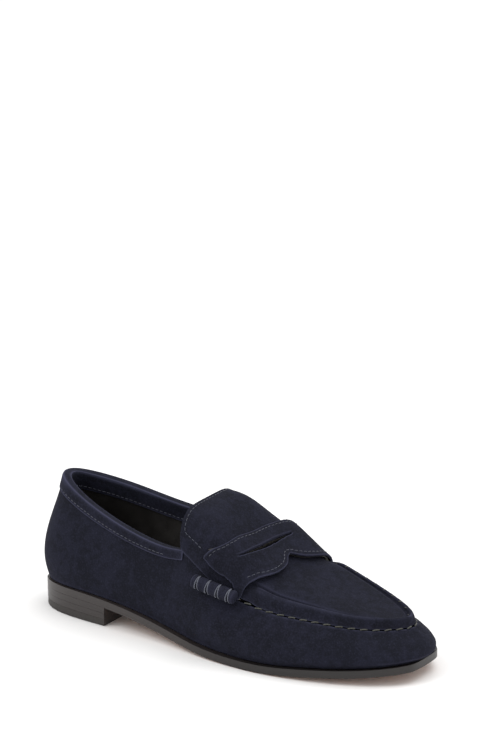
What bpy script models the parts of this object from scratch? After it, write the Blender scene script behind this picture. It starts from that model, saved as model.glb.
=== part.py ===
"""Penny loafer, right foot, as its separate pieces.

Frame: +X to the toe, +Y to the inner (medial) side, +Z up, ground at z = 0.
Sizes are in millimetres here and become metres when a mesh is made.
The last is drawn at a sample size and graded to the overall sizes below.
"""
import math

import bmesh
import bpy
import numpy as np
from mathutils import Vector

MM = 0.001

# Overall sizes
LENGTH = 260.0            # outsole, heel to toe
BALL_WIDTH = 87.0         # outsole across the ball of the foot
BACK_HEIGHT = 63.0        # upper above the sole at the back of the heel
HEEL_HEIGHT = 12.0        # ground to the outsole's underside at the heel
TOE_SPRING = 7.8          # ground to the outsole's underside at the toe tip

# Sole and heel
SOLE_THICKNESS = 4.5
SOLE_EDGE = 2.5           # outsole standing out beyond the upper, in front of the heel
SEAT_EDGE = 1.0           # the same round the back of the heel
HEEL_BREAST = 56.0        # heel, back to front face
HEEL_TAPER = 0.3          # heel narrower at the ground than at the sole, each side
TOP_LIFT = 4.2
LIFTS = 2
NAILS = 5
NAIL_RADIUS = 1.0
NAIL_HEAD_RADIUS = 2.2
NAIL_HEAD = 0.8
NAIL_INSET = 13.0         # nails inside the edge of the last
INSOLE = 2.0
SHANK_WIDTH = 12.0
SHANK = 1.2
SHANK_START, SHANK_END = 56.0, 146.0
FILLER_START = 152.0
HEEL_PAD = 3.0
HEEL_PAD_END = 70.0
HEEL_PAD_FRONT = 0.5      # pad's thickness at its feathered front
HEEL_PAD_INSET = 2.0      # pad inside the sock lining's edge
SOCK = 1.1

# Upper
SUEDE = 1.4
STIFFENER = 1.0           # heel counter and toe puff
LINING = 0.9
BINDING = 0.6
BINDING_OUTSIDE = 6.6     # binding's width outside the collar, at the shoe's waist
BINDING_BACK = 8.2        # the same at the back
BINDING_FRONT = 5.0       # the same where it meets the tongue
BINDING_INSIDE = 10.0
LASTING_MARGIN = 9.0      # upper turned in under the insole board
FIELD_LIFT = 3.4          # apron's field above the seam's groove
RIDGE = 1.6               # apron's rolled edge above its field
RIDGE_WIDTH = 4.6
GROOVE = 0.9              # seam's groove between the wall and the apron
LINING_INSET = 3.5        # tongue lining inside the tongue's edge
THREAD_RADIUS = 0.4
STRAP = 1.6
STRAP_BACKING = 0.8
ROLL_RADIUS = 3.6
WHIP_RADIUS = 0.65
WHIPS = 4
GAP = 0.3                 # clearance between pieces
WALL_STEPS = 64           # facets round the upper
# The rolled edge: distances in from the seam, and the height of its outer face and of its
# underside above the apron's field there
ROLLED_EDGE = ([GROOVE, GROOVE + 0.5, GROOVE + 1.3, RIDGE_WIDTH - 1.2, RIDGE_WIDTH - 0.3, RIDGE_WIDTH + 0.4,
                RIDGE_WIDTH + 1.6],
               [1.0 - FIELD_LIFT, -0.4, RIDGE * 0.8, RIDGE, RIDGE * 0.7, -0.3, 0])
ROLLED_UNDER = ([GROOVE, GROOVE + 1.0, RIDGE_WIDTH - 1], [1.0 - FIELD_LIFT, -0.9, 0])
WHIP_ARC = (-75, 95)      # whip stitch round a roll, degrees above the level
WHIP_SLANT = 1.2          # half its slant along the roll

# The sample last, from the back of the heel along the outer side to the toe and back along
# the inner side: sole edge x, y | top edge x, y, height above the sole | bulge | lean of the
# wall at its top in degrees
SAMPLE_LENGTH, SAMPLE_WIDTH, SAMPLE_HEIGHT = 256.5, 82.0, 63.0
LAST = [
    (-1.5, -5, 7.5, 0, 63, 6, 12),
    (8.5, -20, 13, -12.5, 62.5, 6, 10),
    (33, -26.5, 36, -20.5, 53, 4.5, 8),
    (66, -28.5, 70, -23.5, 44.5, 3, 6),
    (102, -32.5, 99, -25.5, 45.5, 3, 8),
    (120, -36.5, 111, -27.5, 48, 3.5, 12),
    (135, -39, 125, -30, 43.5, 4, 16),
    (150, -40.5, 139, -32, 34.5, 4.5, 30),
    (168, -41, 158, -32, 29, 5, 45),
    (200, -36.5, 191, -28, 24.5, 5, 55),
    (228, -26.5, 217, -19.5, 20, 5, 60),
    (247.5, -11, 234.5, -5, 16.8, 4.5, 60),
    (252.5, 6, 240.5, 8.5, 15.3, 4.5, 60),
    (245, 21.5, 235, 19.5, 15.5, 4.5, 60),
    (228, 34, 218, 29, 18.5, 5, 60),
    (203, 40.5, 196, 33, 25, 5, 55),
    (172, 38, 164, 34, 36, 5, 45),
    (140, 29.5, 129, 31.5, 44.8, 4, 25),
    (105, 22, 99, 29, 49.5, 3, 8),
    (66, 22, 67, 26, 50, 3, 6),
    (32, 26.5, 37, 21, 54.5, 4, 8),
    (7, 18.5, 14.5, 13, 59.5, 6, 10),
]
SEAM_OUTER, TIP_ROW, SEAM_INNER = 8, 12, 16      # rows where the top edge meets the apron
# Rows between which the inner layers run
COUNTER_ROWS, PUFF_ROWS, QUARTER_ROWS, VAMP_ROWS = (-3.3, 3.3), (10.1, 13.9), (-5.2, 5.3), (5.36, 16.74)
BINDING_ROWS = (-4.6, 4.75)
KX = (LENGTH - SOLE_EDGE - SEAT_EDGE) / SAMPLE_LENGTH
KY = (BALL_WIDTH - 2 * SOLE_EDGE) / SAMPLE_WIDTH
KZ = BACK_HEIGHT / SAMPLE_HEIGHT

# Apron and tongue on the sample last: side edges behind the seam as x, y, height above the
# sole, and the crown's height above the side edges along x
TONGUE_OUTER = [(104, -30, 50), (110, -30.5, 48.5), (115, -31.2, 46.2), (122, -32.5, 43),
                (130, -33.2, 39), (138, -33.2, 36.8), (147, -32.6, 34.3)]
TONGUE_INNER = [(104, 33.2, 50.5), (113, 33.8, 49.5), (122, 34.3, 47.5), (132, 34.6, 45.3), (148, 34.8, 41.5)]
TONGUE_REAR, TONGUE_BOW, TONGUE_MIDDLE = 103.8, 4.0, 2.0
CROWN = [(104, 21.7), (110, 23.2), (118, 24.6), (128, 23.2), (136, 20.8), (150, 16.5), (164, 11), (190, 6.5),
         (215, 3.5), (236, 1)]
# Crown's squareness at the outer and the inner side, and its fullness
CROWN_SQUARE, CROWN_FULL = (4.6, 7.0), 0.62

# Penny strap on the sample last: rear and front edge x along y, and its slot
STRAP_REAR = [(-33, 124), (-28, 130.5), (-17, 135), (-7, 137.5), (5, 139), (14, 140.5), (24, 142.5),
              (33, 145)]
STRAP_FRONT = [(-33, 148), (-28, 155), (-21, 161), (-11, 163), (-2, 161), (4.5, 158.5), (11, 162.5),
               (18, 166.5), (27, 169), (33, 169.5)]
SLOT_REAR = [(-28, 141.8), (-22, 145), (-14, 147), (-6.5, 148.2), (2, 149), (12.5, 150.5), (21.5, 152.3)]
SLOT_WIDTH = 2.5
STRAP_ENDS = (-32.8, 33.4)
STRAP_ROWS, STRAP_CROWDING = 30, 0.6
STRAP_MARGIN = 2.6        # strap's ends inside the tongue's edges
# Rolls at the strap's ends: start and end of the line where each rests against the shoe, as x, y,
# height above the sole, and the direction from there to its middle
ROLL_OUTER = ((120.7, -35.6, 36), (149.7, -35.1, 32.5))
ROLL_INNER = ((137, 36.3, 40.5), (165.5, 36.3, 33))
ROLL_LEAN = math.radians(45)


def smooth_line(knots, values):
    """Cubic through the values at the knots, as a function of place."""
    knots = np.asarray(knots, float)
    values = np.asarray(values, float).reshape(len(knots), -1)
    gap = np.diff(knots)
    slope = np.diff(values, axis=0) / gap[:, None]
    rows = np.zeros((len(knots), len(knots)))
    right = np.zeros_like(values)
    rows[0, :2], right[0] = (2, 1), 3 * slope[0]
    rows[-1, -2:], right[-1] = (1, 2), 3 * slope[-1]
    for i in range(1, len(knots) - 1):
        rows[i, i - 1:i + 2] = 1 / gap[i - 1], 2 / gap[i - 1] + 2 / gap[i], 1 / gap[i]
        right[i] = 3 * (slope[i - 1] / gap[i - 1] + slope[i] / gap[i])
    tangent = np.linalg.solve(rows, right)

    def at(where):
        where = np.asarray(where, float)
        i = np.clip(np.searchsorted(knots, where, side="right") - 1, 0, len(gap) - 1)
        u = ((where - knots[i]) / gap[i])[..., None]
        span = gap[i][..., None]
        a, b = values[i], values[i + 1]
        start = (u**3 - 2 * u**2 + u) * span * tangent[i]
        end = (u**3 - u**2) * span * tangent[i + 1]
        return a + (b - a) * u * u * (3 - 2 * u) + start + end
    return at


def rule(*pairs):
    """Number that follows x smoothly through (sample x, value) pairs, level beyond them."""
    places = [x * KX for x, _ in pairs]
    line = smooth_line(places, [value for _, value in pairs])
    return lambda x: line(np.clip(x, places[0], places[-1]))[..., 0]


def across_rule(pairs):
    """x as a function of y through (sample y, sample x) pairs."""
    line = smooth_line([y * KY for y, _ in pairs], [x * KX for _, x in pairs])
    return lambda y: line(y)[..., 0]


# ---------------------------------------------------------------- the last's surfaces
heel_part = rule((-3, 1), (50, 0.97), (85, 0.6), (122, 0.13), (150, 0), (170, 0))
toe_part = rule((145, 0), (168, 0), (195, 0.25), (225, 0.56), (258, 1))


def sole_under(x):
    return np.maximum(HEEL_HEIGHT * heel_part(x) + TOE_SPRING * toe_part(x), 0)


def sole_top(x):
    return sole_under(x) + SOLE_THICKNESS


def round_line(rows):
    """Closed smooth line through rows, and the place (0 to 1) of each row on it."""
    loop = np.vstack([rows, rows[:1]])
    steps = np.linalg.norm(np.diff(loop[:, :2], axis=0), axis=1) ** 0.8
    places = np.concatenate([[0], np.cumsum(steps)]) / steps.sum()
    lap = 3
    knots = np.concatenate([places[-lap - 1:-1] - 1, places, places[1:lap + 1] + 1])
    values = np.vstack([loop[-lap - 1:-1], loop, loop[1:lap + 1]])
    return smooth_line(knots, values), places


last_line, ROW_PLACES = round_line(np.array(LAST) * [KX, KY, KX, KY, KZ, KY, 1])


def place(row):
    """Place round the shoe of a LAST row; rows before 0 or past the end wrap round."""
    turn = math.floor(row / len(LAST))
    return float(np.interp(row - turn * len(LAST), range(len(LAST) + 1), ROW_PLACES)) + turn


def unit(vectors):
    return vectors / np.linalg.norm(vectors, axis=-1, keepdims=True)


def plan_normal(t):
    """Outward direction, in plan, of the last's edge."""
    step = 1e-3
    ahead = unit(last_line((t + step) % 1.0)[..., :2] - last_line((t - step) % 1.0)[..., :2])
    return np.stack([ahead[..., 1], -ahead[..., 0], np.zeros(ahead.shape[:-1])], -1)


def top_edge(t):
    row = last_line(np.asarray(t, float) % 1.0)
    return np.concatenate([row[..., 2:4], sole_top(row[..., 2:3]) + row[..., 4:5]], -1)


def wall_outside(t, v):
    """Outer surface of the upper's side: t round the shoe, v from the sole (0) to the top (1)."""
    row = last_line(t % 1.0)
    out, up = plan_normal(t), np.array([0, 0, 1.0])
    foot = np.concatenate([row[..., :2], sole_top(row[..., :1]) + GAP], -1)
    top = top_edge(t)
    third = (top - foot)[..., 2:] / 3
    bulge, lean = row[..., 5:6], np.radians(row[..., 6:7])
    low = foot + up * third + out * bulge * 1.6
    high = top - (up * np.cos(lean) - out * np.sin(lean)) * third
    v = v[..., None]
    u = 1 - v
    return u**3 * foot + 3 * v * u * u * low + 3 * v * v * u * high + v**3 * top


def wall_normal(t, v):
    step = 1e-3
    along = wall_outside(t + step, v) - wall_outside(t - step, v)
    upward = wall_outside(t, np.clip(v + step, 0, 1)) - wall_outside(t, np.clip(v - step, 0, 1))
    return unit(np.cross(along, upward))


def wall(t, v, depth=0.0):
    """Point at a depth inside the upper's outer surface."""
    t, v, depth = np.broadcast_arrays(*(np.asarray(a, float) for a in (t, v, depth)))
    return wall_outside(t, v) - wall_normal(t, v) * depth[..., None]


def wall_height(t):
    row = last_line(np.asarray(t, float) % 1.0)
    return row[..., 4] - GAP + sole_top(row[..., 2]) - sole_top(row[..., 0])


sole_edge = rule((10, SEAT_EDGE), (60, SOLE_EDGE), (240, SOLE_EDGE))


def sides(inset=None):
    """The last's edge moved inwards, or out to the outsole's edge where no inset is given:
    outer and inner y as functions of x, back x and toe x."""
    t = np.linspace(0, 1, 600, endpoint=False)
    if inset is None:
        inset = -sole_edge(last_line(t)[:, :1])
    edge = last_line(t)[:, :2] - plan_normal(t)[:, :2] * inset
    edge = np.roll(edge, -edge[:, 0].argmin(), axis=0)
    toe = edge[:, 0].argmax()
    outer, inner = edge[:toe + 1], np.vstack([edge[toe:], edge[:1]])[::-1]
    return (lambda x: np.interp(x, *outer.T)), (lambda x: np.interp(x, *inner.T)), edge[0, 0], edge[toe, 0]


# ---------------------------------------------------------------- apron and tongue surface
def side_line(free, first, last):
    """x, y, z along one side of the apron, from the tongue's corner to the toe tip."""
    free = np.array(free) * [KX, KY, KZ]
    free[:, 2] += sole_top(free[:, 0])
    seam = top_edge(np.linspace(place(first), place(last), 120))
    seam = seam[np.argsort(seam[:, 0])]
    joint = smooth_line(np.append(free[:, 0], seam[:6:5, 0]), np.vstack([free, seam[:6:5]]))
    x = np.arange(free[0, 0], seam[0, 0], 0.5)
    return np.vstack([joint(x), seam])


OUTER_SIDE = side_line(TONGUE_OUTER, SEAM_OUTER, TIP_ROW)
INNER_SIDE = side_line(TONGUE_INNER, TIP_ROW, SEAM_INNER)
SEAM_LINE = top_edge(np.linspace(place(SEAM_OUTER), place(SEAM_INNER), 400))
TIP = SEAM_LINE[:, 0].max()
REAR = TONGUE_REAR * KX
crown = rule(*CROWN)
SEAM_LEAD = 9.0           # apron drawn in for the groove this far behind its ridge
ridge_outer = rule((151, 0), (159, 1))
ridge_inner = rule((170, 0), (177, 1))


def apron_field(x, y):
    """Height of the apron and tongue, without the rolled edge along the seam."""
    outer = [np.interp(x, OUTER_SIDE[:, 0], OUTER_SIDE[:, i]) for i in (1, 2)]
    inner = [np.interp(x, INNER_SIDE[:, 0], INNER_SIDE[:, i]) for i in (1, 2)]
    outer[0] = outer[0] + 1.1 * GROOVE * ridge_outer(x + SEAM_LEAD)
    inner[0] = inner[0] - 1.1 * GROOVE * ridge_inner(x + SEAM_LEAD)
    across = np.clip((y - outer[0]) / np.maximum(inner[0] - outer[0], 1e-6), 0, 1)
    lift = FIELD_LIFT * ((1 - across) * ridge_outer(x) + across * ridge_inner(x))
    edge = (1 - across) * outer[1] + across * inner[1] + lift
    square = np.where(across < 0.5, *CROWN_SQUARE)
    return edge + crown(x) * KZ * (1 - np.abs(2 * across - 1) ** square) ** CROWN_FULL


def field_normal(x, y):
    step = 0.2
    dx = (apron_field(x + step, y) - apron_field(x - step, y)) / (2 * step)
    dy = (apron_field(x, y + step) - apron_field(x, y - step)) / (2 * step)
    return unit(np.stack([-dx, -dy, np.ones_like(dx)], -1))


def seam_distance(x, y):
    far = np.hypot(x[..., None] - SEAM_LINE[:, 0], y[..., None] - SEAM_LINE[:, 1])
    return far.min(-1)


def on_apron(x, y, lift):
    """Point at a height above the apron's field, square to it."""
    return np.stack([x, y, apron_field(x, y)], -1) + field_normal(x, y) * np.asarray(lift)[..., None]


def rear_bow(x):
    """Share of the tongue's width left at x by its bowed rear edge."""
    share = np.clip((x - REAR) / (TONGUE_BOW * KX), 0, 1)
    return (1 - (1 - share) ** 3) ** (1 / 3)


def apron_span(x, inset, seam_inset):
    """Outer and inner y of the apron and tongue at x, inside the tongue's edges by inset and
    inside the seam by seam_inset."""
    span = []
    for side, inward, ridge in ((OUTER_SIDE, 1, ridge_outer), (INNER_SIDE, -1, ridge_inner)):
        ahead = unit(np.gradient(side[:, :2], axis=0))
        normal = np.stack([-ahead[:, 1], ahead[:, 0]], -1) * inward
        amount = inset + (seam_inset - inset) * ridge(side[:, 0] + SEAM_LEAD)
        moved = side[:, :2] + normal * amount[:, None]
        y = np.interp(x, *moved[np.argsort(moved[:, 0])].T)
        span.append(TONGUE_MIDDLE + (y - TONGUE_MIDDLE) * rear_bow(x - inset))
    return span


# ---------------------------------------------------------------- making solids
def clear_scene():
    for obj in list(bpy.data.objects):
        bpy.data.objects.remove(obj, do_unlink=True)
    for group in list(bpy.data.collections):
        bpy.data.collections.remove(group)


def make_material(name, colour, roughness, metallic=0.0):
    material = bpy.data.materials.new(name)
    material.use_nodes = True
    shader = material.node_tree.nodes["Principled BSDF"]
    shader.inputs["Base Color"].default_value = (*colour, 1)
    shader.inputs["Roughness"].default_value = roughness
    shader.inputs["Metallic"].default_value = metallic
    return material


def add_object(name, data, material, group, parent):
    obj = bpy.data.objects.new(name, data)
    obj.parent = parent
    data.materials.append(material)
    group.objects.link(obj)
    return obj


def solid_mesh(name, front, back, closed=False):
    """Mesh of a sheet between two grids of points, front and back; closed joins its last row
    to its first."""
    rows, columns = front.shape[:2]
    shape = bmesh.new()
    rings = [[shape.verts.new(Vector(p) * MM) for p in (*a, *b[::-1])] for a, b in zip(front, back)]
    for i in range(rows if closed else rows - 1):
        one, two = rings[i], rings[(i + 1) % rows]
        for j in range(2 * columns):
            k = (j + 1) % (2 * columns)
            shape.faces.new((one[j], one[k], two[k], two[j]))
    if not closed:
        for ring in (rings[0], rings[-1]):
            for j in range(columns - 1):
                shape.faces.new((ring[j], ring[j + 1], ring[-2 - j], ring[-1 - j]))
    bmesh.ops.recalc_face_normals(shape, faces=shape.faces)
    mesh = bpy.data.meshes.new(name)
    shape.to_mesh(mesh)
    shape.free()
    mesh.shade_smooth()
    mesh.set_sharp_from_angle(angle=math.radians(40))
    return mesh


def sheet_object(name, front, back, look, closed=False):
    return add_object(name, solid_mesh(name, front, back, closed), *look)


def tube(name, points, radius, look, sides_around=8, loop=False):
    """Round rod along points, with closed ends."""
    curve = bpy.data.curves.new(name, "CURVE")
    curve.dimensions = "3D"
    line = curve.splines.new("POLY")
    line.points.add(len(points) - 1)
    for knot, point in zip(line.points, points):
        knot.co = (*(Vector(point) * MM), 1)
    line.use_cyclic_u = loop
    curve.bevel_depth = radius * MM
    curve.bevel_resolution = sides_around // 2 - 2
    curve.use_fill_caps = not loop
    return add_object(name, curve, *look)


def eased(start, end, count, ease_end=True, short=0.07):
    """Places from start to end that crowd towards the rounded ends."""
    turn = np.linspace(short, 1 - short * ease_end, count) * (math.pi if ease_end else math.pi / 2)
    last_turn = math.pi if ease_end else math.pi / 2
    share = (1 - np.cos(turn)) / (1 - math.cos(last_turn))
    return start + (end - start) * share


def plate(name, x, span, top, bottom, look, columns=5):
    """Flat piece over the span of y at each x, between the heights top(x) and bottom(x)."""
    outer, inner = span
    share = np.linspace(0, 1, columns)
    y = outer(x)[:, None] * (1 - share) + inner(x)[:, None] * share
    grid_x = np.broadcast_to(x[:, None], y.shape)
    upper = np.stack([grid_x, y, np.broadcast_to(top(x)[:, None], y.shape)], -1)
    lower = np.stack([grid_x, y, np.broadcast_to(bottom(x)[:, None], y.shape)], -1)
    return sheet_object(name, upper, lower, look)


def round_places(first_row, last_row):
    """The places round the shoe between two LAST rows that every layer of the wall shares, so
    that their facets lie parallel."""
    first, last = (place(row) * WALL_STEPS for row in (first_row, last_row))
    return np.arange(math.ceil(first), math.floor(last) + 1) / WALL_STEPS


def wall_sheet(name, rows, v_low, v_high, depths, look, columns=6):
    """Layer of the side wall between two LAST rows, two heights and two depths."""
    t = round_places(*rows)
    low, high = (v(t) if callable(v) else np.full(len(t), v) for v in (v_low, v_high))
    v = low[:, None] + (high - low)[:, None] * np.linspace(0, 1, columns)
    front, back = (wall(t[:, None], v, depth) for depth in depths)
    return sheet_object(name, front, back, look)


def up_the_wall(height):
    """Share of the wall's height at a height above its foot."""
    return lambda t: height / wall_height(t)


# ---------------------------------------------------------------- sole, heel and insole
def make_sole(look, rubber):
    outer, inner, back, toe = sides()
    outsole = plate("outsole", eased(back, toe, 34), (outer, inner), sole_top, sole_under, look)
    breast = back + HEEL_BREAST * KX
    cut_pieces = [outsole]
    stack = HEEL_HEIGHT - TOP_LIFT
    levels = [(TOP_LIFT + GAP / 2 + stack * i / LIFTS, TOP_LIFT + stack * (i + 1) / LIFTS - GAP / 2)
              for i in range(LIFTS)][::-1]
    for number, (low, high) in enumerate(levels, 1):
        name = f"heel_lift_{number}"
        cut_pieces.append(heel_layer(name, low, high, breast, back, outer, inner, look))
    heel_layer("top_lift", 0, TOP_LIFT - GAP / 2, breast, back, outer, inner, rubber)
    return cut_pieces


def heel_layer(name, low, high, breast, back, outer, inner, look):
    """One layer of the heel, between two heights measured where the heel is full height."""
    share = 1 - low / HEEL_HEIGHT
    inset = HEEL_TAPER * share
    x = eased(back + inset, breast - inset, 12, ease_end=False)
    span = (lambda x: outer(x - inset) + inset), (lambda x: inner(x - inset) - inset)
    top = (lambda x: sole_under(x) * high / HEEL_HEIGHT - GAP / 2)
    bottom = (lambda x: sole_under(x) * low / HEEL_HEIGHT)
    return plate(name, x, span, top, bottom, look, columns=3)


def margin_top(x):
    return sole_top(x) + GAP + SUEDE


def board_bottom(x):
    return margin_top(x) + GAP


def board_top(x):
    return board_bottom(x) + INSOLE


def pad_height(x):
    """Thickness of the heel pad, feathered towards its front end."""
    share = np.clip((HEEL_PAD_END * KX - x) / (0.35 * HEEL_PAD_END * KX), 0, 1)
    return HEEL_PAD_FRONT + (HEEL_PAD - HEEL_PAD_FRONT) * share


def make_insole(board, steel, cork, foam, leather):
    inset = SUEDE + STIFFENER + LINING + 7 * GAP
    outer, inner, back, toe = sides(inset)
    insole = plate("insole_board", eased(back, toe, 28), (outer, inner), board_top, board_bottom, board)
    half = SHANK_WIDTH / 2
    x = np.linspace(SHANK_START * KX, SHANK_END * KX, 16)
    middle = (lambda x: (outer(x) + inner(x)) / 2)
    span = (lambda x: middle(x) - half), (lambda x: middle(x) + half)
    plate("shank", x, span, lambda x: sole_top(x) + GAP + SHANK, lambda x: sole_top(x) + GAP, steel, 3)
    outer_in, inner_in, _, toe_in = sides(LASTING_MARGIN + 2 * GAP)
    x = FILLER_START * KX + (toe_in - FILLER_START * KX) * np.sin(np.linspace(0, 1.5, 18))
    plate("forepart_filler", x, (outer_in, inner_in), lambda x: sole_top(x) + GAP + SHANK,
          lambda x: sole_top(x) + GAP, cork, 5)
    edge = inset + 2 * GAP
    outer, inner, back, toe = sides(edge)
    x = eased(back + HEEL_PAD_INSET, HEEL_PAD_END * KX, 16, ease_end=False)
    span = ((lambda x: outer(x - HEEL_PAD_INSET) + HEEL_PAD_INSET),
            (lambda x: inner(x - HEEL_PAD_INSET) - HEEL_PAD_INSET))
    plate("heel_pad", x, span, lambda x: board_top(x) + GAP + NAIL_HEAD + GAP + pad_height(x),
          lambda x: board_top(x) + GAP + NAIL_HEAD + GAP, foam, 5)

    def sock_bottom(x):
        share = np.clip((HEEL_PAD_END * KX + 8 - x) / 8, 0, 1)
        share = share * share * (3 - 2 * share)
        return board_top(x) + GAP + share * (NAIL_HEAD + 2 * GAP + pad_height(x))
    plate("sock_lining", eased(back, toe, 32), (outer, inner), lambda x: sock_bottom(x) + SOCK,
          sock_bottom, leather)
    return insole


def make_nails(pieces, look, cutters):
    """Nails from the insole board into the heel, with a hole for each in what they pass."""
    outer, inner, back, _ = sides(NAIL_INSET)
    places = []
    for turn in np.linspace(-1, 1, NAILS):
        x = back + (HEEL_BREAST * KX - NAIL_INSET) * abs(turn) ** 1.5 * 0.8
        y = (outer if turn < 0 else inner)(x) if abs(turn) > 0 else 0.0
        places.append((x + 1, y))
    low = TOP_LIFT + 1.5
    for number, (x, y) in enumerate(places, 1):
        head_top = float(board_top(x)) + GAP + NAIL_HEAD
        head_bottom = head_top - NAIL_HEAD
        profile = [(0, head_top), (NAIL_HEAD_RADIUS, head_top), (NAIL_HEAD_RADIUS, head_bottom),
                   (NAIL_RADIUS, head_bottom), (NAIL_RADIUS, low + NAIL_RADIUS), (0, low)]
        turned(f"heel_nail_{number}", (x, y), profile, look)
        hole = NAIL_RADIUS + GAP
        mouth, floor = head_bottom - GAP / 2, low - GAP
        profile = [(0, mouth), (hole, mouth), (hole, floor), (0, floor)]
        cutter = turned(f"nail_hole_{number}", (x, y), profile, (look[0], *cutters))
        cutter.hide_render = True
        cutter.display_type = "WIRE"
        for piece in pieces:
            cut = piece.modifiers.new(cutter.name, "BOOLEAN")
            cut.object = cutter
            cut.solver = "EXACT"


def turned(name, centre, profile, look, sides_around=12):
    """Solid of revolution about a vertical axis, from a profile of radius and height."""
    shape = bmesh.new()
    knots = [shape.verts.new((r * MM, 0, z * MM)) for r, z in profile]
    for a, b in zip(knots, knots[1:]):
        shape.edges.new((a, b))
    mesh = bpy.data.meshes.new(name)
    shape.to_mesh(mesh)
    shape.free()
    obj = add_object(name, mesh, *look)
    obj.location = (centre[0] * MM, centre[1] * MM, 0)
    screw = obj.modifiers.new("turn", "SCREW")
    screw.steps = screw.render_steps = sides_around
    screw.use_merge_vertices = True
    screw.merge_threshold = 0.00001
    return obj


# ---------------------------------------------------------------- upper
def make_upper(suede, stiff, leather):
    t = np.linspace(0, 1, WALL_STEPS, endpoint=False)[:, None]
    v = np.linspace(1, 0, 9)[None, :]
    outward = plan_normal(t)
    foot = last_line(t % 1.0)[..., :2]

    def turned_in(distance, height):
        point = np.concatenate([foot - outward[..., :2] * distance, foot[..., :1]], -1)
        point[..., 2] = sole_top(point[..., 0]) + height
        return point
    front = np.concatenate([wall(t, v), turned_in(LASTING_MARGIN / 2, GAP),
                            turned_in(LASTING_MARGIN, GAP)], 1)
    low = up_the_wall(SUEDE)(t)
    back = np.concatenate([wall(t, low + (1 - low) * v, SUEDE),
                           turned_in(LASTING_MARGIN / 2, GAP + SUEDE),
                           turned_in(LASTING_MARGIN, GAP + SUEDE)], 1)
    sheet_object("upper_wall", front, back, suede, closed=True)
    depth = SUEDE + GAP
    layer = (depth, depth + STIFFENER)
    foot_line = up_the_wall(SUEDE + 2 * GAP + 0.6)
    wall_sheet("heel_counter", COUNTER_ROWS, foot_line, 0.72, layer, stiff)
    wall_sheet("toe_puff", PUFF_ROWS, foot_line, 0.82, layer, stiff)
    depth += STIFFENER + 1.5 * GAP
    layer = (depth, depth + LINING)
    foot_line = up_the_wall(SUEDE + 3 * GAP + 1.2)
    wall_sheet("quarter_lining", QUARTER_ROWS, foot_line, 0.985, layer, leather)
    wall_sheet("vamp_lining", VAMP_ROWS, foot_line, 0.9, layer, leather)


binding_width = rule((0, BINDING_BACK), (45, BINDING_OUTSIDE), (85, BINDING_OUTSIDE - 1),
                     (108, BINDING_FRONT))


def make_binding(look):
    """Band folded over the collar, from one side of the tongue to the other."""
    t = round_places(*BINDING_ROWS)
    inside = SUEDE + STIFFENER + LINING + 4.2 * GAP
    wide = binding_width(top_edge(t)[:, 0])
    skins = []
    for out, top in ((BINDING, GAP + BINDING), (0.0, GAP)):
        near, far = -(GAP + out), inside + out
        middle = (near + far) / 2
        profile = [(near, -wide), (near, -wide / 2), (near, 0), (near + 0.6, top),
                   (middle, top + 0.2), (far - 0.6, top), (far, 0), (far, -BINDING_INSIDE / 2),
                   (far, -BINDING_INSIDE)]
        skins.append(np.stack([beside_collar(t, depth, up) for depth, up in profile], 1))
    sheet_object("collar_binding", skins[0], skins[1], look)


def beside_collar(t, depth, up):
    """Point at a depth inside the wall and a height above (or down from) its top edge."""
    if np.all(up <= 0):
        return wall(t, 1 + up / wall_height(t), depth)
    top, normal = wall_outside(t, np.ones_like(t)), wall_normal(t, np.ones_like(t))
    rise = unit(top - wall_outside(t, np.full_like(t, 0.97)))
    return top - normal * depth + rise * up


def make_apron(suede, leather, thread_look):
    x = eased(REAR, TIP - GROOVE, 42, short=0.035)
    front, back = apron_grid(x, 0.0, GROOVE, 0.0, SUEDE, rolled=True)
    sheet_object("apron_tongue", front, back, suede)
    x = eased(REAR + LINING_INSET, TIP - RIDGE_WIDTH - LINING_INSET, 24)
    depth = SUEDE + 4.5 * GAP
    front, back = apron_grid(x, LINING_INSET, LINING_INSET + RIDGE_WIDTH, -depth, LINING, rolled=False)
    sheet_object("tongue_lining", front, back, leather)
    t = np.linspace(place(SEAM_OUTER + 0.1), place(SEAM_INNER - 0.35), 44)
    inward = -plan_normal(t)
    seam = top_edge(t) + inward * 0.1 + np.array([0, 0, 0.8])
    tube("apron_seam_thread", seam, THREAD_RADIUS, thread_look, 6)


def apron_grid(x, inset, seam_inset, lift, thickness, rolled):
    """Front and back points of a layer of the apron and tongue."""
    outer, inner = apron_span(x, inset, seam_inset)
    half = (inner - outer) / 2
    steps = np.array(ROLLED_EDGE[0]) - GROOVE if rolled else [0, 2, 4]
    share = np.stack([np.minimum(s, half * (i / (len(steps) + 1))) for i, s in enumerate(steps)], 1)
    field = np.linspace(0, 1, 11)[1:-1]
    left, right = outer[:, None] + share, inner[:, None] - share
    middle = left[:, -1:] + (right[:, -1:] - left[:, -1:]) * field
    y = np.concatenate([left, middle, right[:, ::-1]], 1)
    gx = np.broadcast_to(x[:, None], y.shape)
    high, low = np.full(y.shape, lift), np.full(y.shape, lift - thickness)
    if rolled:
        near = seam_distance(gx, y)
        width = (inner - outer)[:, None]
        across = (y - outer[:, None]) / width
        strength = (1 - across) * ridge_outer(gx) + across * ridge_inner(gx)
        strength = np.where(near < RIDGE_WIDTH + 3, strength, 0)
        roll = np.interp(near, *ROLLED_EDGE)
        under = np.interp(near, *ROLLED_UNDER)
        drop = np.stack([np.zeros_like(y), np.zeros_like(y), strength], -1)
        top = on_apron(gx, y, high) + drop * roll[..., None]
        return top, on_apron(gx, y, low) + drop * under[..., None]
    return on_apron(gx, y, high), on_apron(gx, y, low)


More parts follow.
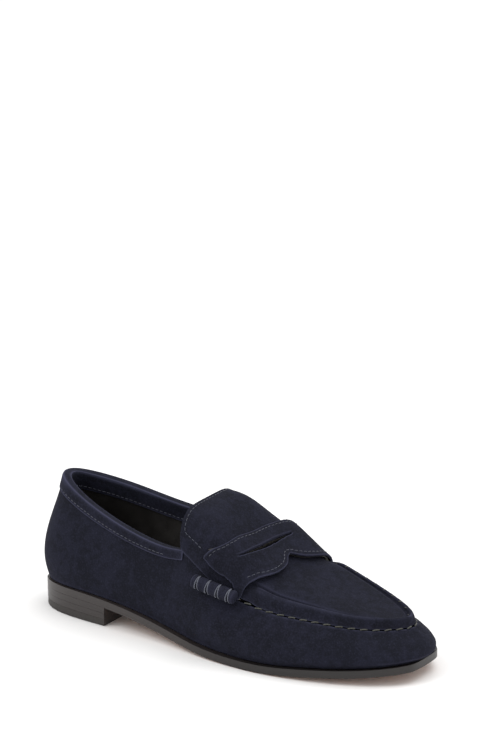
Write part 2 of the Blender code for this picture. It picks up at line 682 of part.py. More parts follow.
# ---------------------------------------------------------------- penny strap and rolls
def make_strap(suede, leather, cutters):
    rear, ahead = across_rule(STRAP_REAR), across_rule(STRAP_FRONT)
    for name, lift, thickness, inset, look in (
            ("saddle_strap", 4.8 * GAP + STRAP_BACKING, STRAP, 0.0, suede),
            ("strap_backing", 2.6 * GAP, STRAP_BACKING, 1.5, leather)):
        even = np.linspace(0, 1, STRAP_ROWS)
        across = even + STRAP_CROWDING * ((1 - np.cos(math.pi * even)) / 2 - even)
        y = (STRAP_ENDS[0] + (STRAP_ENDS[1] - STRAP_ENDS[0]) * across) * KY
        share = np.linspace(0, 1, 6)
        x = (rear(y) + inset)[:, None] * (1 - share) + (ahead(y) - inset)[:, None] * share
        outer, inner = apron_span(x, STRAP_MARGIN + inset, GROOVE)
        gy = outer + (inner - outer) * across[:, None]
        front, back = (on_apron(x, gy, np.full(x.shape, h)) for h in (lift + thickness, lift))
        piece = sheet_object(name, front, back, look)
        cut = piece.modifiers.new("slot", "BOOLEAN")
        cut.solver = "EXACT"
        cut.object = slot_cutter(cutters, suede[0], "slot_" + name, inset * 0.3)


def slot_cutter(cutters, material, name, spread):
    line = across_rule(SLOT_REAR)
    y = np.linspace(SLOT_REAR[0][0], SLOT_REAR[-1][0], 16) * KY
    swell = np.sin(np.linspace(0.12, math.pi - 0.12, 16))
    x = line(y)
    edges = [x - spread - 0.2, x + (SLOT_WIDTH + spread) * swell]
    points = [np.stack([np.stack([e, y, apron_field(x, y) + h], -1) for e in edges], 1) for h in (8, -4)]
    cutter = add_object(name, solid_mesh(name, *points), material, *cutters)
    cutter.hide_render = True
    cutter.display_type = "WIRE"
    return cutter


def make_roll(side, line, out, suede, thread_look):
    """Roll at one end of the strap, with the whip stitches over it; out is -1 or 1 along y."""
    ends = np.array(line) * [KX, KY, KZ]
    ends[:, 2] += sole_top(ends[:, 0])
    ends[:, 1:] += ROLL_RADIUS * np.array([out * math.cos(ROLL_LEAN), math.sin(ROLL_LEAN)])
    tube(f"beef_roll_{side}", ends[0] + (ends[1] - ends[0]) * np.linspace(0, 1, 6)[:, None],
         ROLL_RADIUS, suede, 12)
    along = unit(ends[1] - ends[0])
    level = unit(np.cross(along, [0, 0, 1.0])) * -1
    level *= out * np.sign(level[1])
    upright = np.cross(along, level)
    upright *= np.sign(upright[2])
    reach = ROLL_RADIUS + GAP + WHIP_RADIUS
    for number in range(WHIPS):
        centre = ends[0] + (ends[1] - ends[0]) * (number + 0.6) / (WHIPS + 0.2)
        turn = np.radians(np.linspace(*WHIP_ARC, 10))[:, None]
        points = centre + reach * (np.cos(turn) * level + np.sin(turn) * upright)
        points = points + along * np.linspace(-WHIP_SLANT, WHIP_SLANT, 10)[:, None]
        tube(f"whip_stitch_{side}_{number + 1}", points, WHIP_RADIUS, thread_look, 6)


def main():
    clear_scene()
    loafer = bpy.data.collections.new("penny_loafer")
    cutters = bpy.data.collections.new("cutters")
    for group in (loafer, cutters):
        bpy.context.scene.collection.children.link(group)
    root = bpy.data.objects.new("loafer_origin", None)
    loafer.objects.link(root)
    outer, inner, back, toe = sides()
    x = np.linspace(back, toe, 200)
    root.location = (-(back + toe) / 2 * MM, -(outer(x).min() + inner(x).max()) / 2 * MM, 0)

    def look(name, colour, roughness, metallic=0.0):
        return make_material(name, colour, roughness, metallic), loafer, root
    suede = look("navy_suede", (0.018, 0.019, 0.042), 0.95)
    leather = look("black_lining_leather", (0.012, 0.010, 0.009), 0.6)
    stacked = look("brown_sole_leather", (0.03, 0.022, 0.018), 0.45)
    rubber = look("black_rubber", (0.01, 0.01, 0.01), 0.7)
    steel = look("spring_steel", (0.5, 0.5, 0.52), 0.35, 1.0)
    board = look("insole_board", (0.35, 0.24, 0.15), 0.9)
    cork = look("cork_filler", (0.28, 0.17, 0.09), 0.9)
    foam = look("heel_foam", (0.6, 0.55, 0.42), 0.9)
    stiff = look("stiffener", (0.5, 0.45, 0.38), 0.85)
    thread = look("waxed_thread", (0.05, 0.055, 0.1), 0.6)
    cutter_home = (cutters, root)
    cut_pieces = make_sole(stacked, rubber)
    cut_pieces.append(make_insole(board, steel, cork, foam, leather))
    make_nails(cut_pieces, steel, cutter_home)
    make_upper(suede, stiff, leather)
    make_binding(suede)
    make_apron(suede, leather, thread)
    make_strap(suede, leather, cutter_home)
    make_roll("outer", ROLL_OUTER, -1, suede, thread)
    make_roll("inner", ROLL_INNER, 1, suede, thread)


main()
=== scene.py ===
"""Penny loafer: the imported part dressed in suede, lining leather, sole leather and thread."""
import math

import bmesh
import bpy
import numpy as np
from bpy.props import FloatProperty, FloatVectorProperty, PointerProperty
from mathutils import Matrix, Vector
from mathutils.bvhtree import BVHTree
from mathutils.kdtree import KDTree


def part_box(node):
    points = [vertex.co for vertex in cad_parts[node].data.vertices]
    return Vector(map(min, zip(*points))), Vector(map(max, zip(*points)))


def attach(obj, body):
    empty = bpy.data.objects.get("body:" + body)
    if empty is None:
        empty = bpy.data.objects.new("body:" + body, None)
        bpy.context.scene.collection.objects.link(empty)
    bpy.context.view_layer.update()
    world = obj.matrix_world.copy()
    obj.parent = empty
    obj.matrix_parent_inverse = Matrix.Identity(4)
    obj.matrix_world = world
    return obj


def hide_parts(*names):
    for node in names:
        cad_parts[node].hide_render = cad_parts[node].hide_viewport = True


bl_info = {
    "name": "Penny Loafer",
    "version": (1, 0, 0),
    "blender": (4, 5, 0),
    "location": "View3D > Sidebar > Loafer",
    "description": "Dresses the loafer's frame in suede, leather and thread",
    "category": "Object",
}

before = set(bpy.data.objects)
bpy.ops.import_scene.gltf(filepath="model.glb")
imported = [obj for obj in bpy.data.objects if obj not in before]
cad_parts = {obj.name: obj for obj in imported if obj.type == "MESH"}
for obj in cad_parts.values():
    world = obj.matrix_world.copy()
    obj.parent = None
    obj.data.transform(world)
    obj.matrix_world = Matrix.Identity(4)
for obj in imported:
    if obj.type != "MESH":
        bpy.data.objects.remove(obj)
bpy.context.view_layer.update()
MM = 0.001
CORNER = math.radians(35)                  # edges sharper than this stay crisp
SEAM_MIDDLE = np.array([0.03, 0.0, 0.0])   # a place inside the shoe that the seam runs round
HIGH = 0.3                                 # metres, above the whole shoe
DOWN = Vector((0, 0, -1))


# ------------------------------------------------------------ settings
def linear(hex_colour):
    """Linear red, green and blue of an sRGB hex colour."""
    shares = [int(hex_colour[i:i + 2], 16) / 255 for i in (1, 3, 5)]
    return tuple(c / 12.92 if c <= 0.04045 else ((c + 0.055) / 1.055) ** 2.4
                 for c in shares)


def colour_setting(name, description, hex_colour):
    return FloatVectorProperty(name=name, description=description, default=linear(hex_colour),
                               subtype="COLOR", size=3, min=0, max=1)


def length_setting(name, description, millimetres):
    return FloatProperty(name=name, description=description, default=millimetres * MM, unit="LENGTH",
                         subtype="DISTANCE", min=0, precision=4)


class LoaferSizes(bpy.types.PropertyGroup):
    seam_pitch: length_setting("Seam pitch", "Distance between the apron seam's hand stitches", 7.0)
    seam_stitch: length_setting("Seam stitch", "Length of one hand stitch in the groove", 4.0)
    seam_thread: length_setting("Seam thread", "Radius of the apron seam's thread", 0.42)
    row_pitch: length_setting("Row pitch", "Distance between machine stitches", 2.9)
    row_stitch: length_setting("Row stitch", "Length of one machine stitch", 2.0)
    row_thread: length_setting("Row thread", "Radius of the machine thread", 0.22)
    whip_thread: length_setting("Whip thread", "Radius of the thread round the rolls", 0.4)
    whip_spread: length_setting(
        "Whip spread", "Distance between a whip stitch's strands at the bottom", 2.6)
    pucker: length_setting("Pucker", "Height of the gathers that the seam pulls in the suede", 0.55)
    strap_row: length_setting("Strap row inset", "Stitch row inside the strap's edges", 2.3)
    tongue_row: length_setting("Tongue row inset", "Stitch row inside the tongue's edge", 2.4)
    binding_row: length_setting("Binding row inset", "Stitch row above the binding's lower edge", 1.5)


class LoaferColours(bpy.types.PropertyGroup):
    suede: colour_setting("Suede", "Navy suede with its nap lying flat", "#191A25")
    suede_dark: colour_setting("Suede, brushed dark", "Navy suede with its nap brushed up", "#12131B")
    # the nap colour also lightens convex edges and folds, partly as rubbed wear and partly as painted
    # highlight
    nap: colour_setting("Nap", "Rubbed nap on edges and folds", "#3C3D50")
    thread: colour_setting("Thread", "Machine thread", "#40424E")
    whip_thread: colour_setting("Whip thread", "Thread wrapped round the rolls", "#50535F")
    seam_thread: colour_setting("Seam thread", "Waxed thread of the hand seam", "#45453F")
    lining: colour_setting("Lining", "Black-brown lining leather", "#1F1D1C")
    sole_edge: colour_setting("Sole edge", "Dyed and waxed edge of the sole and heel", "#2B2625")
    sole_under: colour_setting("Sole underside", "Leather under the sole", "#8A6248")


# ------------------------------------------------------------ node trees
def add_node(tree, kind, inputs=(), **settings):
    """Add a node with its settings, and set or link its inputs."""
    node = tree.nodes.new(kind)
    for name, value in settings.items():
        setattr(node, name, value)
    for socket, value in dict(inputs).items():
        if isinstance(value, bpy.types.NodeSocket):
            tree.links.new(value, node.inputs[socket])
        else:
            node.inputs[socket].default_value = value
    return node


def new_material(name, **sockets):
    """Material with a Principled shader, and the piece's own coordinates."""
    material = bpy.data.materials.new(name)
    material.use_nodes = True
    tree = material.node_tree
    shader = tree.nodes["Principled BSDF"]
    for socket, value in sockets.items():
        shader.inputs[socket.replace("_", " ")].default_value = value
    place = add_node(tree, "ShaderNodeTexCoord").outputs["Object"]
    return material, tree, shader, place


def rgba(colour, tone=1.0):
    """Colour made lighter or darker by a tone, as a socket takes it."""
    return (*(min(1.0, c * tone) for c in colour), 1.0)


def mix(tree, factor, low, high):
    """Colour that goes from low to high by a factor."""
    # sockets 6 and 7 take the two colours, and output 2 gives the mixed one
    inputs = {"Factor": factor, 6: low, 7: high}
    return add_node(tree, "ShaderNodeMix", inputs, data_type="RGBA").outputs[2]


def maths(tree, operation, one, two):
    """Sum or product of two values."""
    return add_node(tree, "ShaderNodeMath", {0: one, 1: two}, operation=operation).outputs[0]


def scaled(tree, value, low, high, out_low=0.0, out_high=1.0):
    return add_node(tree, "ShaderNodeMapRange", {
        "Value": value, "From Min": low, "From Max": high, "To Min": out_low, "To Max": out_high},
        interpolation_type="SMOOTHSTEP").outputs["Result"]


def noise(tree, place, size, detail, roughness, distortion=0.0):
    """Soft noise whose patches have a size in millimetres."""
    return add_node(tree, "ShaderNodeTexNoise", {
        "Vector": place, "Scale": 1 / (size * MM), "Detail": detail, "Roughness": roughness,
        "Distortion": distortion}).outputs["Fac"]


def raise_surface(tree, shader, height, strength, distance, under=None, invert=False):
    """Raise the surface by a pattern, up to a distance in millimetres, over any bump under it."""
    inputs = {"Height": height, "Strength": strength, "Distance": distance * MM}
    if under is not None:
        inputs["Normal"] = under
    normal = add_node(tree, "ShaderNodeBump", inputs, invert=invert).outputs["Normal"]
    tree.links.new(normal, shader.inputs["Normal"])
    return normal


def suede_material(name, colours):
    """Split leather buffed to a nap: no gloss, a pale rim on convex edges that is partly wear and
    partly painted highlight, soft patches where it was brushed.
    """
    _, tree, shader, place = new_material(
        name, Roughness=0.95, Specular_IOR_Level=0.12, Sheen_Weight=0.12, Sheen_Roughness=0.45)
    shader.inputs["Sheen Tint"].default_value = rgba(colours.nap)
    # brushed patches about 16 mm across, streaks of 4 mm, and nap tufts drawn 0.9 mm wide, coarser
    # than the real 0.2 mm so that they show
    patches = noise(tree, place, 16, 3.0, 0.6, distortion=0.4)
    streaks = noise(tree, place, 4, 3.0, 0.65)
    tufts = noise(tree, place, 0.9, 2.0, 0.7)
    both = maths(tree, "ADD", patches, streaks)
    brushed = scaled(tree, both, 0.82, 1.18)
    base = mix(tree, brushed, rgba(colours.suede_dark), rgba(colours.suede))
    speck = scaled(tree, tufts, 0.45, 0.75, 0.0, 0.2)
    base = mix(tree, speck, base, rgba(colours.nap))
    # convex edges and folds are lightened towards the nap colour: partly nap rubbed pale by wear,
    # partly a painted highlight on crests and rims
    wear_and_highlight = add_node(tree, "ShaderNodeAttribute", attribute_name="wear_and_highlight").outputs["Fac"]
    wear_and_highlight = scaled(tree, wear_and_highlight, 0.0, 1.0, 0.0, 0.85)
    base = mix(tree, wear_and_highlight, base, rgba(colours.nap))
    tree.links.new(base, shader.inputs["Base Color"])
    coarse = raise_surface(tree, shader, streaks, 0.35, 0.6)
    raise_surface(tree, shader, tufts, 0.5, 0.22, under=coarse)


def leather_material(name, colour, grain, roughness):
    """Full-grain leather, dyed: a pebble of a given size and small changes of gloss."""
    _, tree, shader, place = new_material(name, Roughness=roughness, Specular_IOR_Level=0.4)
    pebble = add_node(tree, "ShaderNodeTexVoronoi", {"Vector": place, "Scale": 1 / (grain * MM)},
                      feature="SMOOTH_F1")
    cloud = noise(tree, place, 12, 4.0, 0.6)
    base = mix(tree, scaled(tree, cloud, 0.35, 0.7), rgba(colour), rgba(colour, 1.5))
    tree.links.new(base, shader.inputs["Base Color"])
    gloss = scaled(tree, cloud, 0.3, 0.7, roughness - 0.08, roughness + 0.08)
    tree.links.new(gloss, shader.inputs["Roughness"])
    raise_surface(tree, shader, pebble.outputs["Distance"], 0.25, 0.12, invert=True)


def sole_material(name, colours):
    """Sole leather: edges dyed dark, waxed and burnished in fine layers; underside left tan."""
    _, tree, shader, place = new_material(
        name, Roughness=0.42, Specular_IOR_Level=0.4, Coat_Weight=0.12, Coat_Roughness=0.3)
    squash = add_node(tree, "ShaderNodeMapping", {"Vector": place, "Scale": (1, 1, 22)})
    # layers about 0.7 mm thick and 15 mm long
    layers = noise(tree, squash.outputs[0], 15, 3.0, 0.6)
    edge = mix(tree, scaled(tree, layers, 0.35, 0.65), rgba(colours.sole_edge),
               rgba(colours.sole_edge, 1.2))
    fibres = noise(tree, place, 3, 5.0, 0.7)
    under = mix(tree, scaled(tree, fibres, 0.3, 0.7), rgba(colours.sole_under),
                rgba(colours.sole_under, 1.3))
    facing = add_node(tree, "ShaderNodeNewGeometry").outputs["Normal"]
    down = add_node(tree, "ShaderNodeSeparateXYZ", {0: facing}).outputs["Z"]
    is_under = scaled(tree, down, -0.9, -0.75, 1.0, 0.0)
    # painted shade: the edge is made darker towards the toe, where it faces the lights
    ahead = add_node(tree, "ShaderNodeSeparateXYZ", {0: place}).outputs["X"]
    painted_toe_shade = scaled(tree, ahead, -50 * MM, 60 * MM)
    edge = mix(tree, painted_toe_shade, edge, rgba(colours.sole_edge, 0.45))
    base = mix(tree, is_under, edge, under)
    tree.links.new(base, shader.inputs["Base Color"])
    raise_surface(tree, shader, layers, 0.1, 0.1)


def grained_material(name, hex_low, hex_high, grain, roughness, metallic=0.0, bump=0.1):
    """Plain material whose tone changes over a grain given in millimetres."""
    _, tree, shader, place = new_material(name, Roughness=roughness, Metallic=metallic)
    grains = noise(tree, place, grain, 4.0, 0.65)
    base = mix(tree, scaled(tree, grains, 0.3, 0.7), rgba(linear(hex_low)), rgba(linear(hex_high)))
    tree.links.new(base, shader.inputs["Base Color"])
    raise_surface(tree, shader, grains, 0.4, bump)


def thread_material(name, colour):
    """Twisted thread with a little wax: plies drawn 0.5 mm apart along the row."""
    _, tree, shader, place = new_material(
        name, Roughness=0.55, Specular_IOR_Level=0.35, Sheen_Weight=0.2, Sheen_Roughness=0.4)
    plies = noise(tree, place, 0.5, 2.0, 0.6)
    base = mix(tree, scaled(tree, plies, 0.35, 0.6), rgba(colour, 0.6), rgba(colour))
    tree.links.new(base, shader.inputs["Base Color"])
    raise_surface(tree, shader, plies, 0.5, 0.15)


def tree_input(tree, name, kind, value=None):
    socket = tree.interface.new_socket(name=name, in_out="INPUT", socket_type=kind)
    if value is not None:
        socket.default_value = value


def finish_row(tree, points, stitch, rotation, given):
    """Stitches on the points, made real and given their thread."""
    placed = add_node(tree, "GeometryNodeInstanceOnPoints", {
        "Points": points, "Instance": stitch, "Rotation": rotation}).outputs[0]
    real = add_node(tree, "GeometryNodeRealizeInstances", {0: placed}).outputs[0]
    smooth = add_node(tree, "GeometryNodeSetShadeSmooth", {0: real}).outputs[0]
    dyed = add_node(tree, "GeometryNodeSetMaterial", {0: smooth, "Material": given["Thread"]})
    add_node(tree, "NodeGroupOutput", {0: dyed.outputs[0]})


def facing_points(tree, along):
    """Rotation that turns one axis of a stitch along the path and the next one to the path's up."""
    tangent = add_node(tree, "GeometryNodeInputTangent").outputs[0]
    up = add_node(tree, "GeometryNodeInputNamedAttribute", {"Name": "up"}, data_type="FLOAT_VECTOR")
    lined = add_node(tree, "FunctionNodeAlignRotationToVector", {"Vector": tangent}, axis=along)
    return add_node(tree, "FunctionNodeAlignRotationToVector", {
        "Rotation": lined.outputs[0], "Vector": up.outputs[0]},
        axis="Z" if along == "X" else "X", pivot_axis=along).outputs[0]


def stitch_row_tree():
    """Running stitches along a path: short arches of thread whose ends dip into the leather."""
    tree = bpy.data.node_groups.new("stitch_row", "GeometryNodeTree")
    tree_input(tree, "Path", "NodeSocketGeometry")
    for name, value in (("Pitch", 3.0), ("Length", 2.0), ("Radius", 0.3), ("Rise", 0.3)):
        tree_input(tree, name, "NodeSocketFloat", value * MM)
    tree_input(tree, "Slant", "NodeSocketFloat", 0.0)
    tree_input(tree, "Unevenness", "NodeSocketFloat", 0.05)
    tree_input(tree, "Seed", "NodeSocketInt", 7)
    tree_input(tree, "Thread", "NodeSocketMaterial")
    tree.interface.new_socket(name="Row", in_out="OUTPUT", socket_type="NodeSocketGeometry")
    given = tree.nodes.new("NodeGroupInput").outputs
    curve = add_node(tree, "GeometryNodeMeshToCurve", {0: given["Path"]}).outputs[0]
    points = add_node(tree, "GeometryNodeResampleCurve", {0: curve, "Length": given["Pitch"]},
                      mode="LENGTH").outputs[0]
    half = maths(tree, "MULTIPLY", given["Length"], 0.5)
    back = maths(tree, "MULTIPLY", half, -1.0)
    dip = maths(tree, "MULTIPLY", given["Radius"], -0.9)
    ends = [add_node(tree, "ShaderNodeCombineXYZ", {"X": x, "Z": z}).outputs[0]
            for x, z in ((back, dip), (half, dip))]
    crest = add_node(tree, "ShaderNodeCombineXYZ", {"Z": given["Rise"]}).outputs[0]
    arch = add_node(tree, "GeometryNodeCurveQuadraticBezier", {
        "Resolution": 5, "Start": ends[0], "Middle": crest, "End": ends[1]}).outputs[0]
    ring = add_node(tree, "GeometryNodeCurvePrimitiveCircle", {
        "Resolution": 6, "Radius": given["Radius"]}).outputs[0]
    stitch = add_node(tree, "GeometryNodeCurveToMesh", {
        "Curve": arch, "Profile Curve": ring, "Fill Caps": True}).outputs[0]
    low = maths(tree, "MULTIPLY", given["Unevenness"], -1.0)
    uneven = add_node(tree, "FunctionNodeRandomValue", {
        2: low, 3: given["Unevenness"], "Seed": given["Seed"]}).outputs[1]
    turn = maths(tree, "ADD", given["Slant"], uneven)
    spin = add_node(tree, "ShaderNodeCombineXYZ", {"Z": turn}).outputs[0]
    spin = add_node(tree, "FunctionNodeEulerToRotation", {0: spin}).outputs[0]
    facing = facing_points(tree, "X")
    rotation = add_node(tree, "FunctionNodeRotateRotation", {"Rotation": facing, "Rotate By": spin},
                        rotation_space="LOCAL").outputs[0]
    finish_row(tree, points, stitch, rotation, given)


def whip_stitch_tree():
    """Two strands from one hole at the top, wrapped round a roll and spreading to two below."""
    tree = bpy.data.node_groups.new("whip_stitches", "GeometryNodeTree")
    tree_input(tree, "Path", "NodeSocketGeometry")
    for name, value in (("Reach", 4.3), ("Radius", 0.5), ("Spread", 2.0)):
        tree_input(tree, name, "NodeSocketFloat", value * MM)
    tree_input(tree, "Turns", "NodeSocketFloat", 0.45)
    tree_input(tree, "Thread", "NodeSocketMaterial")
    tree.interface.new_socket(name="Row", in_out="OUTPUT", socket_type="NodeSocketGeometry")
    given = tree.nodes.new("NodeGroupInput").outputs
    points = add_node(tree, "GeometryNodeMeshToCurve", {0: given["Path"]}).outputs[0]
    ring = add_node(tree, "GeometryNodeCurvePrimitiveCircle", {
        "Resolution": 8, "Radius": given["Radius"]}).outputs[0]
    pair = tree.nodes.new("GeometryNodeJoinGeometry")
    for share in (-0.75, 0.25):
        height = maths(tree, "MULTIPLY", given["Spread"], share)
        wrap = add_node(tree, "GeometryNodeCurveSpiral", {
            "Resolution": 22, "Rotations": given["Turns"], "Start Radius": given["Reach"],
            "End Radius": given["Reach"], "Height": height}).outputs[0]
        strand = add_node(tree, "GeometryNodeCurveToMesh", {
            "Curve": wrap, "Profile Curve": ring, "Fill Caps": True}).outputs[0]
        tree.links.new(strand, pair.inputs[0])
    finish_row(tree, points, pair.outputs[0], facing_points(tree, "Z"), given)


# ------------------------------------------------------------ making pieces
def get_material(name):
    return bpy.data.materials[name]


def add_piece(name, mesh, material, slot, *nodes):
    """Shown piece that rides on the shoe and stands for its CAD nodes."""
    mesh.materials.clear()
    mesh.materials.append(get_material(material))
    obj = bpy.data.objects.new(name, mesh)
    bpy.context.scene.collection.objects.link(obj)
    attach(obj, "root")
    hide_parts(*nodes)
    return obj


def baked(mesh, modifiers):
    """Mesh after a list of modifiers, each a kind and its settings."""
    obj = bpy.data.objects.new("making", mesh)
    bpy.context.scene.collection.objects.link(obj)
    for kind, settings in modifiers:
        modifier = obj.modifiers.new(kind.lower(), kind)
        for name, value in settings.items():
            setattr(modifier, name, value)
    depsgraph = bpy.context.evaluated_depsgraph_get()
    result = bpy.data.meshes.new_from_object(obj.evaluated_get(depsgraph))
    bpy.data.objects.remove(obj)
    result.shade_smooth()
    return result


def merged(node, quads=True, crease=0.0, upright=True):
    """Copy of a CAD node's mesh with its doubles merged, in quads, its sharp corners creased.
    Without upright, the corners of its outline seen from above are left to be rounded."""
    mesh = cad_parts[node].data.copy()
    for name in [a.name for a in mesh.attributes if a.name == "custom_normal"]:
        mesh.attributes.remove(mesh.attributes[name])
    shape = bmesh.new()
    shape.from_mesh(mesh)
    bmesh.ops.remove_doubles(shape, verts=shape.verts, dist=1e-6)
    if quads:
        bmesh.ops.join_triangles(shape, faces=shape.faces, angle_face_threshold=math.radians(40),
                                 angle_shape_threshold=math.radians(70))
    if crease:
        layers = shape.edges.layers.float
        layer = layers.get("crease_edge") or layers.new("crease_edge")
        for edge in shape.edges:
            # an edge is upright when it rises by most of its length
            rise = abs(edge.verts[0].co.z - edge.verts[1].co.z)
            if edge.calc_face_angle(0.0) > CORNER and (upright or rise < 0.8 * edge.calc_length()):
                edge[layer] = crease
    shape.to_mesh(mesh)
    shape.free()
    return mesh


def subdivided(node, levels=2, crease=0.5, upright=True):
    subsurf = {"levels": levels, "render_levels": levels}
    return baked(merged(node, crease=crease, upright=upright), [("SUBSURF", subsurf)])


def vertex_values(mesh, name):
    values = np.empty(len(mesh.vertices) * 3)
    mesh.vertices.foreach_get(name, values)
    return values.reshape(-1, 3)


def points_of(mesh):
    return vertex_values(mesh, "co")


def normals_of(mesh):
    return vertex_values(mesh, "normal")


def move_points(mesh, points):
    mesh.vertices.foreach_set("co", points.ravel())
    mesh.update()


def edges_of(mesh):
    edges = np.empty(len(mesh.edges) * 2, int)
    mesh.edges.foreach_get("vertices", edges)
    return edges.reshape(-1, 2).T


def wear_and_highlight_edges(mesh, strength=1.0, spread=2):
    """Mark how convex the surface is at each point, where the suede is lightened: partly nap rubbed
    pale by hands and shelves, partly a painted highlight on crests and rims.
    """
    points, normals, (a, b) = points_of(mesh), normals_of(mesh), edges_of(mesh)
    step = points[b] - points[a]
    far = np.linalg.norm(step, axis=1) + 1e-9
    count = np.bincount(a, minlength=len(points)) + np.bincount(b, minlength=len(points))
    bend = np.bincount(a, -(normals[a] * step).sum(1) / far, len(points))
    bend += np.bincount(b, (normals[b] * step).sum(1) / far, len(points))
    bend = np.clip(bend / np.maximum(count, 1) * 5 * strength, 0, 1)
    for _ in range(spread):
        near = np.bincount(a, bend[b], len(points)) + np.bincount(b, bend[a], len(points))
        bend = 0.5 * bend + 0.5 * near / np.maximum(count, 1)
    layer = mesh.attributes.new("wear_and_highlight", "FLOAT", "POINT")
    layer.data.foreach_set("value", bend.astype(np.float32))


def tree_of(mesh):
    """Search tree for the nearest place and for rays on a mesh."""
    return BVHTree.FromPolygons([v.co.copy() for v in mesh.vertices],
                                [tuple(p.vertices) for p in mesh.polygons])


def search_of(points):
    """Search tree for the nearest of some points."""
    search = KDTree(len(points))
    for i, point in enumerate(points):
        search.insert(point, i)
    search.balance()
    return search


def outward(points):
    """Level directions from the seam's middle to some points."""
    away = (points - SEAM_MIDDLE) * [1, 1, 0]
    return away / np.linalg.norm(away, axis=-1, keepdims=True)


def run_of(line):
    """Distance run along a line at each of its points."""
    return np.concatenate([[0], np.cumsum(np.linalg.norm(np.diff(line, axis=0), axis=1))])


def smoothed(points, times=2):
    points = np.array(points, float)
    for _ in range(times):
        points[1:-1] = (points[:-2] + 2 * points[1:-1] + points[2:]) / 4
    return points


def resampled(points, step):
    """Points along a line at even steps."""
    points = np.array(points, float)
    run = run_of(points)
    even = np.linspace(0, run[-1], max(2, int(run[-1] / step)))
    return np.stack([np.interp(even, run, points[:, i]) for i in range(points.shape[1])], 1)


def inset(line, distance):
    """Line in plan moved to its left by a distance."""
    ahead = np.gradient(line, axis=0)
    ahead /= np.linalg.norm(ahead, axis=1, keepdims=True)
    return line + np.stack([-ahead[:, 1], ahead[:, 0]], 1) * distance


def laid(line, surface, height=0.0):
    """Line in plan dropped onto a surface: its points and the surface's normals."""
    points, ups = [], []
    for x, y in line:
        hit, normal, _, _ = surface.ray_cast(Vector((x, y, HIGH)), DOWN)
        if hit is not None:
            points.append(hit + normal * height)
            ups.append(normal)
    return np.array(points), np.array(ups)


def path_mesh(points, ups):
    mesh = bpy.data.meshes.new("path")
    mesh.from_pydata([tuple(p) for p in points], [(i, i + 1) for i in range(len(points) - 1)], [])
    layer = mesh.attributes.new("up", "FLOAT_VECTOR", "POINT")
    layer.data.foreach_set("vector", np.asarray(ups, np.float32).ravel())
    return mesh


def row_mesh(tree, points, ups, **values):
    """Plain mesh of what a stitch tree makes along a path."""
    obj = bpy.data.objects.new("path", path_mesh(points, ups))
    bpy.context.scene.collection.objects.link(obj)
    modifier = obj.modifiers.new("row", "NODES")
    modifier.node_group = tree
    for item in tree.interface.items_tree:
        if item.in_out == "INPUT" and item.name in values:
            modifier[item.identifier] = values[item.name]
    depsgraph = bpy.context.evaluated_depsgraph_get()
    mesh = bpy.data.meshes.new_from_object(obj.evaluated_get(depsgraph))
    bpy.data.objects.remove(obj)
    if not mesh.polygons:
        raise RuntimeError("a stitch row came out empty")
    shape = bmesh.new()
    shape.from_mesh(mesh)
    bmesh.ops.recalc_face_normals(shape, faces=shape.faces)
    shape.to_mesh(mesh)
    shape.free()
    mesh.shade_smooth()
    return mesh


def joined(meshes):
    """One mesh from several."""
    shape = bmesh.new()
    for mesh in meshes:
        shape.from_mesh(mesh)
    result = bpy.data.meshes.new("rows")
    shape.to_mesh(result)
    shape.free()
    result.shade_smooth()
    return result


def machine_row(points, ups, sizes, seed=7):
    return row_mesh(bpy.data.node_groups["stitch_row"], points, ups, Pitch=sizes.row_pitch,
                    Length=sizes.row_stitch, Radius=sizes.row_thread, Rise=sizes.row_thread * 1.2,
                    Slant=0.0, Unevenness=0.07, Seed=seed, Thread=get_material("sewing_thread"))


# ------------------------------------------------------------ lines that the pieces share
def seam_line():
    """The seam's middle line round the apron, from the outer roll past the toe to the inner roll."""
    points = points_of(merged("apron_seam_thread", quads=False))
    middle = np.array([points[:, 0].min(), 0.0])
    turn = np.unwrap(np.arctan2(points[:, 1] - middle[1], points[:, 0] - middle[0]))
    order = np.argsort(turn)
    groups = np.array_split(points[order], 60)
    line = smoothed([g.mean(0) for g in groups], 3)
    ends = []
    # at each end the seam runs on, low along the foot of a roll
    for side, nearest in (("outer", line[0]), ("inner", line[-1])):
        centre, along, _, end, _, _ = roll_frame(side)
        ends.append(nearest + (centre + along * (end - 2 * MM) - nearest) * [1, 0.25, 0.6])
    return resampled(np.vstack([ends[0], line, ends[1]]), 0.8 * MM)


def plan_edges(node, axis, step=1.0 * MM):
    """Two edges of a sheet seen from above, at even places along an axis."""
    surface = tree_of(merged(node, quads=False))
    start, end = (np.array(corner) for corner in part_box(node))
    low, high = [], []
    for place in np.arange(start[axis] + step / 4, end[axis], step):
        covered = []
        for across in np.arange(start[1 - axis], end[1 - axis], 0.4 * MM):
            spot = (place, across) if axis == 0 else (across, place)
            if surface.ray_cast(Vector((*spot, HIGH)), DOWN)[0] is not None:
                covered.append(spot)
        if len(covered) > 6:
            low.append(covered[0])
            high.append(covered[-1])
    return np.array(low), np.array(high)


def settings():
    return bpy.context.scene.loafer_sizes, bpy.context.scene.loafer_colours


class LoaferOperator:
    bl_options = {"REGISTER", "UNDO"}


